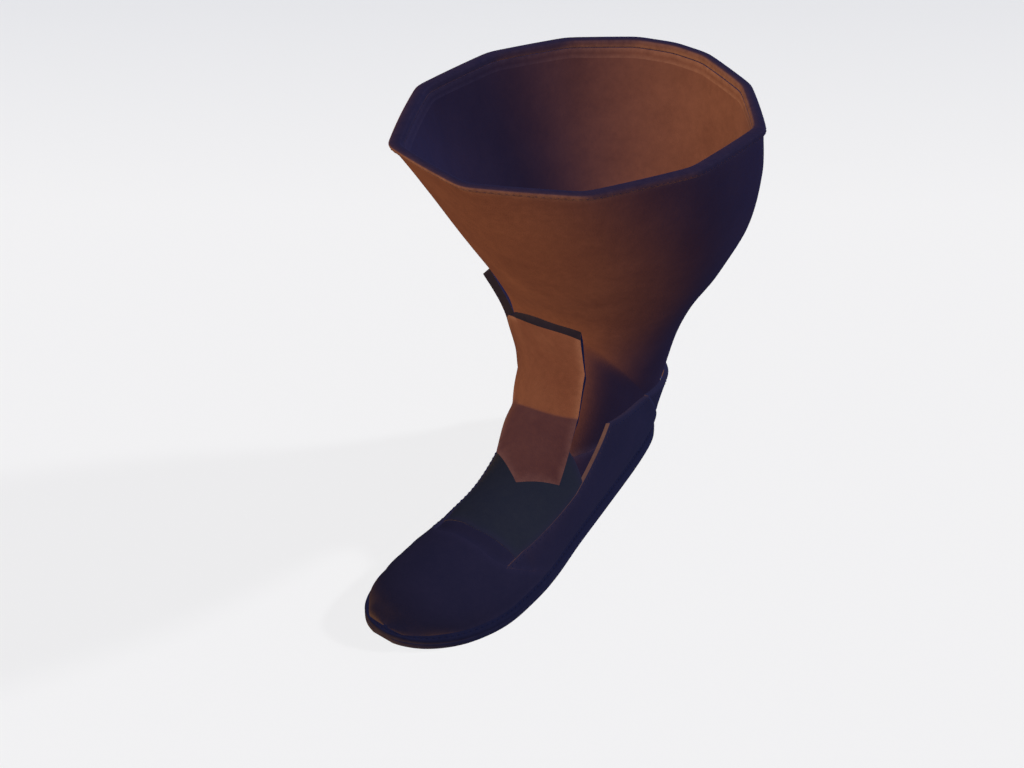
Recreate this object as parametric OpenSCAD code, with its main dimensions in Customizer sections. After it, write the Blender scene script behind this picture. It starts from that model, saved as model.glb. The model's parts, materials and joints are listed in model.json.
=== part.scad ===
// Bell-topped boot: a low dark shoe with a brown leather shaft that flares into a wide bell.
// The toe points along -Y, the wearer's left is +X, and the sole rests on z = 0.

/* [Sole] */
// Thickness of the outsole
outsole_t = 3.5; // [3:0.1:5]
// Thickness of the welt that is sewn on top of the outsole
welt_t = 3; // [2.5:0.1:4]
// How far the welt stands out past the upper
welt_ledge = 3.5; // [2:0.5:6]
// Thickness of the insole board
insole_t = 2.4; // [2:0.1:3]
// Thickness of the sock liner
sock_t = 1.4; // [1:0.1:2]
// Length of the steel shank in the waist of the sole
shank_l = 96; // [70:1:110]
// Width of the steel shank
shank_w = 14; // [10:1:18]

/* [Upper] */
// Thickness of the shaft leather and of the foot lining
leather_t = 2.6; // [2:0.1:2.8]
// Thickness of the shaft lining
lining_t = 1.5; // [1:0.1:1.8]
// Outer face of the shoe's leather, measured out from the lining's face
shoe_out = 3.9; // [3.5:0.1:4.5]
// Thickness of the shoe's leather at the toe and the quarters
shoe_t = 2; // [1.6:0.1:2.2]
// Thickness of the toe puff and of the heel counter
stiffener_t = 1.3; // [1:0.1:1.4]
// Thickness of the front plate
plate_t = 5; // [3.5:0.1:6]

/* [Bell] */
// Height of the rim's binding
binding_h = 4.5; // [4:0.5:8]
// Thickness of the binding leather
binding_t = 1.4; // [1:0.1:1.8]
// Half the width of the back strap at the rim
strap_w = 11; // [8:1:14]

/* [Flex] */
// Where the sole bends under the ball of the foot, along Y
flex_y = -115; // [-120:1:-110]
// Half the gap between the two parts of the sole
flex_gap = 0.2; // [0.15:0.05:0.4]
// Height of the lower edge of the ankle's soft part
ankle_low = 70; // [68:1:74]
// Height of the upper edge of the ankle's soft part
ankle_high = 102; // [98:1:106]

/* [Hidden] */

// Each section is a leaf of a fan that turns about the ankle, from the toe to the rim.
// Columns: front y, front z, back y, back z, half width, half width at the sole, middle x.
seat_z = 7;
SECTIONS = [
    [-190, 13, -192, seat_z, 10, 9, -3],
    [-184, 22, -184, seat_z, 21, 20.5, 0],
    [-169, 29, -169, seat_z, 29, 29, 4],
    [-145, 33, -147, seat_z, 33.5, 33.5, 7.5],
    [-117, 37, -120, seat_z, 33, 33, 9],
    [-87, 46, -98, seat_z, 31, 30, 10],
    [-59, 62, -70, seat_z, 31, 27, 8],
    [-38, 84, -30, seat_z, 33, 26, 3],
    [-32, 108, 15, seat_z, 36.5, 25, -3],
    [-35, 122, 44, seat_z, 38.5, 22.5, -7],
    [-39, 131, 57, seat_z, 39.5, 16, -8],
    [-44, 139, 62, seat_z + 1, 40.5, 0, -9],
    [-51, 148, 69, 40, 43.5, 0, -7],
    [-60, 158, 73, 76, 49, 0, -4.5],
    [-71, 172, 75, 108, 57.5, 0, -1.5],
    [-86, 192, 82, 142, 71, 0, 2],
    [-103, 217, 92, 182, 85, 0, 3],
    [-121, 243, 98, 222, 92, 0, 2],
    [-139, 267, 100, 256, 94, 0, 0]
];
last = len(SECTIONS) - 1;
heel_u = 11;

// The places, in sections from the toe, where one part of the upper gives way to the next.
toe_end_u = 3.22;
foot_start_u = 4.32;
panel_end_u = 6;
puff_end_u = 2.6;
// The panel's edge, as a share of the way round from the ridge to the sole.
panel_v = 0.53;
edge_gap = 0.012;

// Heights of the shoe's top line and of the joins, as [height at y = 0, rise along y].
shoe_line = [62, -0.1];
counter_line = [56, -0.1];
lining_line = [50, -0.1];
low_line = [ankle_low, -0.08];
high_line = [ankle_high, -0.04];
join_gap = 0.6;

// Catmull-Rom spline through the sections, column c at place u.
function row(i, c) = SECTIONS[max(0, min(last, i))][c];
function spline(a, b, c, d, x) =
    0.5 * (2 * b + (c - a) * x + (2 * a - 5 * b + 4 * c - d) * x * x + (3 * b - a - 3 * c + d) * x * x * x);
function before(i, c) = i == 0 ? 2 * row(0, c) - row(1, c) : row(i - 1, c);
function after(i, c) = i >= last - 1 ? 2 * row(last, c) - row(last - 1, c) : row(i + 2, c);
function column(u, c, i) = spline(before(i, c), row(i, c), row(i + 1, c), after(i, c), u - i);
function section(u) = let (i = max(0, min(last - 1, floor(u)))) [for (c = [0:6]) column(u, c, i)];
// The square of the sole's half width is splined, which rounds the heel.
function square_row(i) = pow(SECTIONS[max(0, min(last, i))][5], 2);
function sole_square(u) =
    let (
        i = max(0, min(last - 1, floor(u))),
        first = i == 0 ? 2 * square_row(0) - square_row(1) : square_row(i - 1)
    )
    spline(first, square_row(i), square_row(i + 1), square_row(i + 2), u - i);

// How far round the section the leather turns, from the ridge to the sole, in degrees.
function reach(wide, square) = 180 - asin(sqrt(max(0, min(1, square / (wide * wide)))));
function turn(u) = reach(section(u)[4], sole_square(u));

// A point of the skin: place u, angle a round the section, and distance d out from the skin.
function skin(u, a, d) =
    let (
        s = section(u),
        front = [s[0], s[1]],
        back = [s[2], s[3]],
        square = sole_square(u),
        foot = sqrt(max(0, square)),
        wide = s[4] + d,
        grown = min(wide * wide, foot < 8 ? square * pow(1 + d / 8, 2) : pow(foot + d, 2)),
        level = -sqrt(1 - grown / (wide * wide)),
        rise = (front - back) / norm(front - back),
        nose = pow(max(0, 1 - u / 2), 2) * d,
        tail = d * max(0, 1 - foot / 8),
        top = front + rise * d - [nose, 0],
        low = back - rise * tail - [nose, 0],
        rest = reach(s[4], square),
        b = a * (1 + (reach(wide, grown) / rest - 1) * pow(min(1.1, abs(a) / rest), 3)),
        q = (cos(b) - level) / (1 - level),
        side = low + (top - low) * q
    )
    [s[6] + wide * sin(b), side[0], max(seat_z, side[1])];

// The place u where the skin at angle a crosses a line, by halving.
function above(u, a, line) = let (p = skin(u, a, 0)) p[2] > line[0] + line[1] * p[1];
function cut(a, line, lo = 4.4, hi = 17.8, n = 18) =
    n == 0 ? (lo + hi) / 2
    : let (m = (lo + hi) / 2) above(m, a, line) ? cut(a, line, lo, m, n - 1) : cut(a, line, m, hi, n - 1);
function raised(line, h) = [line[0] + h, line[1]];

function mix(a, b, t) = a + (b - a) * t;
function ease(t) = let (x = max(0, min(1, t))) x * x * (3 - 2 * x);
function steps(n) = [for (i = [0:n]) i / n];

// Triangles between two rings of n points that start at a and b; closed rings wrap round.
function strip(a, b, n, wrap) =
    [for (j = [0:(wrap ? n - 1 : n - 2)]) each halves(a + j, a + (j + 1) % n, b + (j + 1) % n, b + j)];
function halves(p, q, r, s) = [[p, q, r], [p, r, s]];
function edge_strip(m, n, k, j) =
    [for (i = [0:m - 2]) each halves(i * n + j, (i + 1) * n + j, k + (i + 1) * n + j, k + i * n + j)];
function flipped(faces) = [for (f = faces) [for (k = [len(f) - 1:-1:0]) f[k]]];

// A sheet of leather from two grids of points of the same size, outer and inner.
module sheet(outer, inner, wrap = false, nose_cap = false) {
    m = len(outer);
    n = len(outer[0]);
    points = concat([for (r = outer) each r], [for (r = inner) each r]);
    k = m * n;
    out_faces = [for (i = [0:m - 2]) each strip(i * n, (i + 1) * n, n, wrap)];
    in_faces = [for (i = [0:m - 2]) each strip(k + i * n, k + (i + 1) * n, n, wrap)];
    last_edge = strip((m - 1) * n, k + (m - 1) * n, n, wrap);
    first_edge = strip(0, k, n, wrap);
    cap = [[for (j = [0:n - 1]) j]];
    inner_cap = [[for (j = [0:n - 1]) k + j]];
    side_a = edge_strip(m, n, k, 0);
    side_b = edge_strip(m, n, k, n - 1);
    nose_edge = [[n - 1, 0, k, k + n - 1]];
    polyhedron(points, concat(
        out_faces,
        flipped(in_faces),
        last_edge,
        nose_cap ? concat(flipped(cap), inner_cap, nose_edge) : flipped(first_edge),
        wrap ? [] : concat(side_a, flipped(side_b))
    ), convexity = 8);
}

// A web is a list of columns [u0, a0, u1, a1]; each column runs from its first end to its second.
function web(columns, n, d) =
    [for (t = steps(n)) [for (c = columns) skin(mix(c[0], c[2], t), mix(c[1], c[3], t), d)]];
module web_sheet(columns, n, d0, d1, wrap = false) {
    sheet(web(columns, n, d1), web(columns, n, d0), wrap);
}
// A hoop section of the shoe from u0 to u1, over share v0 to v1 of the way round.
function hoops(u0, u1, v0, v1, rows, n, d) =
    [for (t = steps(rows))
        let (u = mix(u0, u1, t), full = turn(u))
        [for (k = steps(n)) skin(u, mix(v0, v1, k) * full, d)]];
module hoop_sheet(u0, u1, v0, v1, rows, n, d0, d1, nose_cap = false) {
    sheet(hoops(u0, u1, v0, v1, rows, n, d1), hoops(u0, u1, v0, v1, rows, n, d0), false, nose_cap);
}
round_n = 32;
foot_n = 20;
function angles(n) = [for (j = [0:n - 1]) -180 + 360 * j / n];
function round_web(low, high) = [for (a = angles(round_n)) [cut(a, low), a, cut(a, high), a]];
function mouth_web(low, u1) = [for (a = angles(round_n)) [cut(a, low), a, u1, a]];

// Outline of the foot at the sole, and the same outline grown by d.
function rail(side) = [for (u = [0:0.25:heel_u]) let (p = skin(u, side * turn(u), 0)) [p[0], p[1]]];
nose_point = [-3, -193.6];
foot_outline = let (a = rail(1), b = rail(-1))
    concat(a, [for (i = [len(b) - 2:-1:0]) b[i]], [nose_point]);
function away(p, q) = let (e = q - p) [e[1], -e[0]] / norm(e);
function grown(pts, d) =
    let (n = len(pts))
    [for (i = [0:n - 1])
        let (
            a = away(pts[(i + n - 1) % n], pts[i]),
            b = away(pts[i], pts[(i + 1) % n]),
            c = a + b
        )
        pts[i] + c * (d / (norm(c) * norm(c) / 2))];

module outline(d) {
    polygon(grown(foot_outline, d));
}
module forepart() {
    intersection() {
        children();
        translate([-100, flex_y - flex_gap - 200]) square([200, 200]);
    }
}
module rear() {
    intersection() {
        children();
        translate([-100, flex_y + flex_gap]) square([200, 300]);
    }
}

welt_out = shoe_out + welt_ledge;
cork_in = -2.3;
welt_in = -2;
insole_in = -leather_t - 1.8;
insole_z = seat_z - 0.1;
sock_z = insole_z + insole_t + 0.15;
cork_gap = 0.15;

module sole_slab() {
    outline(welt_out);
}
module welt_ring() {
    difference() {
        outline(welt_out - 0.4);
        outline(welt_in);
    }
}
module outsole_forepart() {
    color("#3a281e") linear_extrude(outsole_t) forepart() sole_slab();
}
module outsole_rear() {
    color("#3a281e") linear_extrude(outsole_t) rear() sole_slab();
}
module welt_forepart() {
    color("#2a2030") translate([0, 0, outsole_t]) linear_extrude(welt_t) forepart() welt_ring();
}
module welt_rear() {
    color("#2a2030") translate([0, 0, outsole_t]) linear_extrude(welt_t) rear() welt_ring();
}
module cork_slab() {
    translate([0, 0, outsole_t + cork_gap]) linear_extrude(welt_t - 2 * cork_gap) children();
}
module cork_forepart() {
    color("#8a6a48") cork_slab() forepart() outline(cork_in);
}
shank_y = 30;
shank_x = 1;
shank_turn = 5;
shank_gap = 0.2;
module shank_place() {
    translate([shank_x, shank_y, 0]) rotate(shank_turn) translate([-shank_w / 2, -shank_l, 0]) children();
}
module cork_rear() {
    color("#8a6a48") difference() {
        cork_slab() rear() outline(cork_in);
        shank_place() translate([-shank_gap, -shank_gap, outsole_t + 1])
            cube([shank_w + 2 * shank_gap, shank_l + 2 * shank_gap, welt_t]);
    }
}
module shank() {
    color("#9a9ca2") shank_place() translate([0, 0, outsole_t + 1 + shank_gap])
        cube([shank_w, shank_l, welt_t - 1.6]);
}
module insole_slab() {
    translate([0, 0, insole_z]) linear_extrude(insole_t) children();
}
module insole_forepart() {
    color("#a07850") insole_slab() forepart() outline(insole_in);
}
module insole_rear() {
    color("#a07850") insole_slab() rear() outline(insole_in);
}
module sock_slab() {
    translate([0, 0, sock_z]) linear_extrude(sock_t) children();
}
module sock_forepart() {
    color("#6b4630") sock_slab() forepart() outline(insole_in - 0.4);
}
module sock_rear() {
    color("#6b4630") sock_slab() rear() outline(insole_in - 0.4);
}

dark = "#262438";
brown = "#6d4029";
tan = "#7a4c33";

module toe_vamp() {
    color(dark) hoop_sheet(0, toe_end_u, -1, 1, 9, foot_n, shoe_out - shoe_t, shoe_out, true);
}
module toe_puff() {
    color("#b8a68a") hoop_sheet(0, puff_end_u, -1, 1, 7, foot_n, 0.3, 0.3 + stiffener_t, true);
}
module toe_lining() {
    color(tan) hoop_sheet(0, toe_end_u, -1, 1, 9, foot_n, -leather_t, 0, true);
}
flex_u0 = toe_end_u + edge_gap;
flex_u1 = foot_start_u - edge_gap;
module vamp_flex() {
    color(dark) hoop_sheet(flex_u0, flex_u1, -1, 1, 4, foot_n, 0.5, shoe_out);
}
module vamp_flex_lining() {
    color(tan) hoop_sheet(flex_u0, flex_u1, -1, 1, 4, foot_n, -leather_t, 0);
}
module instep_panel() {
    color("#24242f") hoop_sheet(foot_start_u, panel_end_u, -panel_v, panel_v, 6, 10, 0.5, shoe_out);
}

// A quarter runs from the sole's edge up to the panel's side, and behind it to the shoe's top line.
quarter_n = 22;
corner_u = 7.2;
corner_t = 0.3;
corner_a = 63;
seam_a = 179.3;
function sole_end(u) = [u, min(seam_a, turn(u))];
function quarter_top(t) =
    t < corner_t
    ? let (u = mix(foot_start_u, corner_u, t / corner_t))
        [u, min(corner_a, (panel_v + edge_gap) * turn(u)) + edge_gap]
    : let (a = mix(corner_a, seam_a, (t - corner_t) / (1 - corner_t))) [cut(a, shoe_line), a];
function quarter_low(t) = sole_end(mix(foot_start_u, heel_u, sin(90 * t)));
quarter_web = [for (t = steps(quarter_n)) concat(quarter_low(t), quarter_top(t))];
function mirrored(columns) =
    [for (i = [len(columns) - 1:-1:0]) let (c = columns[i]) [c[0], -c[1], c[2], -c[3]]];
module quarter_lateral() {
    color(dark) web_sheet(quarter_web, 9, shoe_out - shoe_t, shoe_out);
}
module quarter_medial() {
    color(dark) web_sheet(mirrored(quarter_web), 9, shoe_out - shoe_t, shoe_out);
}
counter_start_u = 6.8;
counter_a = 84;
function counter_low(t) = sole_end(mix(counter_start_u, heel_u, sin(90 * t)));
function counter_top(t) = let (a = mix(counter_a, seam_a, t)) [cut(a, counter_line), a];
counter_web = [for (t = steps(16)) concat(counter_low(t), counter_top(t))];
module heel_counter() {
    color("#b8a68a") {
        web_sheet(counter_web, 6, 0.3, 0.3 + stiffener_t);
        web_sheet(mirrored(counter_web), 6, 0.3, 0.3 + stiffener_t);
    }
}

// The foot's lining: from the sole's edge and the front hoop up to the opening for the leg.
hoop_share = 0.28;
function lining_low(t) =
    t < hoop_share
    ? [foot_start_u, turn(foot_start_u) * t / hoop_share]
    : sole_end(mix(foot_start_u, heel_u, sin(90 * (t - hoop_share) / (1 - hoop_share))));
function lining_top(t) = let (a = seam_a * t) [cut(a, lining_line), a];
half_web = [for (t = steps(16)) concat(lining_low(t), lining_top(t))];
module foot_lining() {
    columns = concat(mirrored([for (i = [1:16]) half_web[i]]), half_web);
    color(tan) web_sheet(columns, 8, -leather_t, 0);
}
module shaft_base() {
    color(brown) web_sheet(round_web(raised(lining_line, join_gap), low_line), 3, -leather_t, 0, true);
}
module ankle_leather() {
    columns = round_web(raised(low_line, join_gap), raised(high_line, -join_gap));
    color(brown) web_sheet(columns, 5, -leather_t, 0, true);
}
lining_gap = 0.3;
lining_out = -leather_t - lining_gap;
module ankle_lining() {
    columns = round_web(raised(lining_line, join_gap), raised(high_line, -join_gap));
    color(tan) web_sheet(columns, 7, lining_out - lining_t, lining_out, true);
}

// The bell's leather stops a little below the rim, so that the binding can fold over it.
rim_pitch = 33;
leather_end_u = last - (binding_t + 0.5) / rim_pitch;
binding_u = last - binding_h / rim_pitch;
module shaft_leather() {
    color(brown) web_sheet(mouth_web(high_line, leather_end_u), 12, -leather_t, 0, true);
}
module shaft_lining() {
    color(tan) web_sheet(mouth_web(high_line, leather_end_u), 12, lining_out - lining_t, lining_out, true);
}
strap_top_u = binding_u - 0.03;
strap_low_line = [120, 0];
module back_strap() {
    half = asin(strap_w / 94);
    strap_angles = [for (t = steps(4)) mix(180 - half, 180 + half, t)];
    columns = [for (a = strap_angles) [cut(a, strap_low_line, 12), a, strap_top_u, a]];
    color(brown) web_sheet(columns, 10, 0.5, 2.2);
}

// The binding is a channel over the rim: its cross-section is a list of [u, d].
rim_in = lining_out - lining_t;
binding_gap = 0.4;
BINDING = [
    [binding_u, binding_gap],
    [binding_u, binding_gap + binding_t],
    [last, binding_gap + binding_t],
    [last, rim_in - binding_gap - binding_t],
    [binding_u, rim_in - binding_gap - binding_t],
    [binding_u, rim_in - binding_gap],
    [last - binding_t / rim_pitch, rim_in - binding_gap],
    [last - binding_t / rim_pitch, binding_gap]
];
module rim_binding() {
    n = len(BINDING);
    m = round_n;
    points = [for (a = angles(m)) for (p = BINDING) skin(p[0], a, p[1])];
    faces = [for (j = [0:m - 1]) each strip(j * n, (j + 1) % m * n, n, true)];
    color("#2a2232") polyhedron(points, flipped(faces), convexity = 8);
}
facing_u = binding_u - 0.02;
facing_rows = 0.16;
module rim_facing() {
    columns = [for (a = angles(round_n)) [facing_u - facing_rows, a, facing_u, a]];
    color("#5c3826") web_sheet(columns, 1, rim_in - 1.6, rim_in - 0.3, true);
}

// The front plate: a stiff tongue with a pointed foot, and a wing up the inner side of the leg.
plate_top_u = 9.85;
plate_tip_u = 4.8;
plate_corner_u = 5.35;
wing_rise = 3.3;
// Angles of the plate's two edges, against the place u.
PLATE_EDGE = [[4.8, 41], [5.35, 40], [5.9, 34], [6.5, 27], [7.4, 27], [9.85, 31], [13.2, 33]];
WING_EDGE = [[4.8, 33], [5.35, 35], [6.3, 50], [7.4, 62], [8.4, 70], [9.9, 76], [13.2, 66]];
function plate_angle(s, u) = mix(-lookup(u, WING_EDGE), lookup(u, PLATE_EDGE), s);
function plate_low(s) = mix(plate_tip_u, plate_corner_u, abs(2 * s - 1));
function plate_high(s) = plate_top_u + wing_rise * ease((0.27 - s) / 0.09);
plate_stand = 4.6;
plate_sit = 3.3;
function plate_base(u) = mix(plate_stand, plate_sit, ease((u - 5.7) / 1.1));
PLATE_S = [0, 0.09, 0.18, 0.2, 0.225, 0.25, 0.27, 0.36, 0.45, 0.55, 0.66, 0.77, 0.88, 1];
function plate_grid(out) =
    [for (t = steps(20))
        [for (s = PLATE_S)
            let (u = mix(plate_low(s), plate_high(s), t))
            skin(u, plate_angle(s, u), plate_base(u) + out)]];
module front_plate() {
    color(brown) sheet(plate_grid(plate_t), plate_grid(0));
}

outsole_forepart();
outsole_rear();
welt_forepart();
welt_rear();
cork_forepart();
cork_rear();
shank();
insole_forepart();
insole_rear();
sock_forepart();
sock_rear();
toe_vamp();
toe_puff();
toe_lining();
vamp_flex();
vamp_flex_lining();
instep_panel();
quarter_lateral();
quarter_medial();
heel_counter();
foot_lining();
shaft_base();
ankle_leather();
ankle_lining();
front_plate();
shaft_leather();
shaft_lining();
back_strap();
rim_binding();
rim_facing();
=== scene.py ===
"""A bell-topped leather boot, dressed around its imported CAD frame.

Lengths are in millimetres up to the moment a mesh is made, where MM turns them into metres. The leather
lies on one skin: a place is (u, a, d), with u the section from the toe (0) to the rim (18), a the angle
round the section from the front ridge (0) to the back seam (180, left side positive), and d the distance
out from the shaft leather's face.
"""

import json
import math

import bmesh
import bpy
import numpy as np
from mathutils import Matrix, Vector, kdtree, noise

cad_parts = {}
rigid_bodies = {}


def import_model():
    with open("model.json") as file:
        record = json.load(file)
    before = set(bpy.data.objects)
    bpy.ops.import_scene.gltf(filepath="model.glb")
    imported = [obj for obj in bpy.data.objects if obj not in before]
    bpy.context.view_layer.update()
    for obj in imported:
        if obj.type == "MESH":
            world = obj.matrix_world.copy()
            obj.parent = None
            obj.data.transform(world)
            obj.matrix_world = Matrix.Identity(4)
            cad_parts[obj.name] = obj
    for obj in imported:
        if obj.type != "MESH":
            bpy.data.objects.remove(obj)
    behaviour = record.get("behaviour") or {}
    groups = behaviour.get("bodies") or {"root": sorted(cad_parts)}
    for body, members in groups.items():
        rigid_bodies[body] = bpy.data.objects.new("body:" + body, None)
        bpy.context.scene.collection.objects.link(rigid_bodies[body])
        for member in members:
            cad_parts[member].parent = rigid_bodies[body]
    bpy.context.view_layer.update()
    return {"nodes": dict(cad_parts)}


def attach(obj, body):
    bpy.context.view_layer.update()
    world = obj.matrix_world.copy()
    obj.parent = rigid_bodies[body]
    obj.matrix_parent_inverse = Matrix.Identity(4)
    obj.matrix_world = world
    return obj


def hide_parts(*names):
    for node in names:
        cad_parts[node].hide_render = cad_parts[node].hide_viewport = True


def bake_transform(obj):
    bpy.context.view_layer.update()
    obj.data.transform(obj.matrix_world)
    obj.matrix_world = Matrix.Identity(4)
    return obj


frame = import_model()

MM = 0.001
SEAT = 7.0
SECTIONS = np.array([
    # front y, front z, back y, back z, half width, half width at the sole, middle x
    [-190, 13, -192, SEAT, 10, 9, -3],
    [-184, 22, -184, SEAT, 21, 20.5, 0],
    [-169, 29, -169, SEAT, 29, 29, 4],
    [-145, 33, -147, SEAT, 33.5, 33.5, 7.5],
    [-117, 37, -120, SEAT, 33, 33, 9],
    [-87, 46, -98, SEAT, 31, 30, 10],
    [-59, 62, -70, SEAT, 31, 27, 8],
    [-38, 84, -30, SEAT, 33, 26, 3],
    [-32, 108, 15, SEAT, 36.5, 25, -3],
    [-35, 122, 44, SEAT, 38.5, 22.5, -7],
    [-39, 131, 57, SEAT, 39.5, 16, -8],
    [-44, 139, 62, SEAT + 1, 40.5, 0, -9],
    [-51, 148, 69, 40, 43.5, 0, -7],
    [-60, 158, 73, 76, 49, 0, -4.5],
    [-71, 172, 75, 108, 57.5, 0, -1.5],
    [-86, 192, 82, 142, 71, 0, 2],
    [-103, 217, 92, 182, 85, 0, 3],
    [-121, 243, 98, 222, 92, 0, 2],
    [-139, 267, 100, 256, 94, 0, 0],
], float)
LAST = len(SECTIONS) - 1
HEEL_U = 11.0

# The bell's leather is pressed to flat panels. Its rim's corners: [angle, how far out as a share in %].
RIM_CORNERS = np.array([
    [-172, 4], [-158, 5], [-134, 3], [-107, 0], [-74, -3], [-31, 0],
    [6, -3], [43, -3], [78, -3], [111, 3], [144, -4], [174, 1],
], float)
CORNER_SOFT = 4.0
FACET_START_U, FACET_FULL_U, FACET_SHARE = 12.0, 17.5, 0.85


def mix(a, b, t):
    return a + (b - a) * t


def ease(t):
    x = np.clip(t, 0, 1)
    return x * x * (3 - 2 * x)


def spline(values, u):
    """Catmull-Rom through values at 0, 1, 2 and so on."""
    padded = np.concatenate([[2 * values[0] - values[1]], values, [2 * values[-1] - values[-2]]])
    i = np.clip(np.floor(u).astype(int), 0, len(values) - 2)
    x = u - i
    a, b, c, d = (padded[i + k] for k in range(4))
    return 0.5 * (2 * b + (c - a) * x + (2 * a - 5 * b + 4 * c - d) * x**2 + (3 * b - a - 3 * c + d) * x**3)


def sole_square(u):
    """The square of the sole's half width, which rounds the heel; it is just below zero past the heel."""
    return spline(SECTIONS[:, 5] ** 2, u)


def turn(u):
    """The angle at which the skin at place u meets the sole, in degrees."""
    u = np.asarray(u, float)
    wide = spline(SECTIONS[:, 4], u)
    return 180 - np.degrees(np.arcsin(np.sqrt(np.clip(sole_square(u) / wide**2, 0, 1))))


def soft_corners():
    """Sine and cosine round the rim, run straight from corner to corner and softened there."""
    angles = np.arange(-180, 180, 0.5)
    turn_back, turn_on = RIM_CORNERS[-1] - [360, 0], RIM_CORNERS[0] + [360, 0]
    corners = np.vstack([turn_back, RIM_CORNERS, turn_on])
    out = 1 + corners[:, 1] / 100
    waves = [np.interp(angles, corners[:, 0], f(np.radians(corners[:, 0])) * out) for f in (np.sin, np.cos)]
    half = int(CORNER_SOFT / 0.5)
    window = np.bartlett(2 * half + 3)[1:-1]
    window /= window.sum()
    waves = [np.convolve(np.concatenate([w[-half:], w, w[:half]]), window, "valid") for w in waves]
    return np.append(angles, 180.0), [np.append(w, w[0]) for w in waves]


FACET_ANGLES, FACET_WAVES = soft_corners()


def skin(u, a, d, faceted=True):
    """Points of the skin in millimetres, for arrays of places, angles in degrees and distances."""
    u, a, d = np.broadcast_arrays(*(np.asarray(x, float) for x in (u, a, d)))
    front_y, front_z, back_y, back_z, wide, _, middle = (spline(SECTIONS[:, c], u) for c in range(7))
    square = sole_square(u)
    foot = np.sqrt(np.maximum(0, square))
    grown = np.where(foot < 8, square * (1 + d / 8) ** 2, (foot + d) ** 2)
    grown = np.minimum(grown, (wide + d) ** 2)
    level = -np.sqrt(1 - grown / (wide + d) ** 2)
    along_y, along_z = front_y - back_y, front_z - back_z
    length = np.hypot(along_y, along_z)
    nose = np.maximum(0, 1 - u / 2) ** 2 * d
    tail = d * np.maximum(0, 1 - foot / 8)
    top_y, top_z = front_y + along_y / length * d - nose, front_z + along_z / length * d
    low_y, low_z = back_y - along_y / length * tail - nose, back_z - along_z / length * tail
    at_rest = turn(u)
    full = 180 - np.degrees(np.arcsin(np.sqrt(np.maximum(0, grown)) / (wide + d)))
    b = a * (1 + (full / at_rest - 1) * np.minimum(1.1, np.abs(a) / at_rest) ** 3)
    share = FACET_SHARE * ease((u - FACET_START_U) / (FACET_FULL_U - FACET_START_U)) if faceted else 0
    turned = (b + 180) % 360 - 180
    sine = mix(np.sin(np.radians(b)), np.interp(turned, FACET_ANGLES, FACET_WAVES[0]), share)
    cosine = mix(np.cos(np.radians(b)), np.interp(turned, FACET_ANGLES, FACET_WAVES[1]), share)
    q = (cosine - level) / (1 - level)
    y, z = mix(low_y, top_y, q), mix(low_z, top_z, q)
    return np.stack([middle + (wide + d) * sine, y, np.maximum(SEAT, z)], -1)


def smooth_normals(u, a, d):
    """Ways out of the skin before its flat panels were pressed, taken over a wide step.

    They let light roll softly over the panels' folds and round the ankle.
    """
    ahead, behind = np.minimum(u + 0.8, LAST), np.clip(u - 0.8, 0, LAST - 0.8)
    by_u = skin(ahead, a, d, False) - skin(behind, a, d, False)
    by_a = skin(u, a + 5, d, False) - skin(u, a - 5, d, False)
    normal = np.cross(by_a, by_u)
    normal /= np.linalg.norm(normal, axis=-1)[..., None] + 1e-12
    outward = skin(u, a, d + 1.0, False) - skin(u, a, d, False)
    return normal * np.sign((normal * outward).sum(-1))[..., None]


def cut(a, line, low=4.4, high=17.8):
    """The place where the skin at angle a crosses a line [height at y = 0, rise along y]."""
    a = np.asarray(a, float)
    low, high = np.full(a.shape, low), np.full(a.shape, high)
    for _ in range(24):
        middle = (low + high) / 2
        p = skin(middle, a, 0)
        over = p[..., 2] > line[0] + line[1] * p[..., 1]
        high, low = np.where(over, middle, high), np.where(over, low, middle)
    return (low + high) / 2


# ---------------------------------------------------------------- meshes


def sheet_faces(m, n, wrap):
    """Faces of a closed sheet whose outer grid of m by n points comes before its inner grid."""
    k = m * n
    span = n if wrap else n - 1
    faces = []
    for i in range(m - 1):
        for j in range(span):
            a, b, c, d = i * n + j, i * n + (j + 1) % n, (i + 1) * n + (j + 1) % n, (i + 1) * n + j
            faces += [(a, b, c, d), (k + d, k + c, k + b, k + a)]
    for i in (0, m - 1):
        for j in range(span):
            a, b = i * n + j, i * n + (j + 1) % n
            faces.append((b, a, k + a, k + b) if i == 0 else (a, b, k + b, k + a))
    if not wrap:
        for i in range(m - 1):
            for j in (0, n - 1):
                a, b = i * n + j, (i + 1) * n + j
                faces.append((a, b, k + b, k + a) if j == 0 else (b, a, k + a, k + b))
    return faces


def guide_normals(mesh, places, normals):
    """Turn the mesh's normals to the guide's wherever the two roughly agree."""
    tree = kdtree.KDTree(len(places))
    for i, place in enumerate(places):
        tree.insert(place * MM, i)
    tree.balance()
    found = []
    for vertex in mesh.vertices:
        _, i, away = tree.find(vertex.co)
        guide = Vector(normals[i])
        close = away < 1.2 * MM and guide.dot(vertex.normal) > 0.3
        found.append(guide if close else vertex.normal.copy())
    corners = []
    for face in mesh.polygons:
        for i in face.vertices:
            guided = face.material_index == 0 and found[i].dot(face.normal) > 0.3
            corners.append(found[i] if guided else face.normal.copy())
    mesh.normals_split_custom_set(corners)


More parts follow.
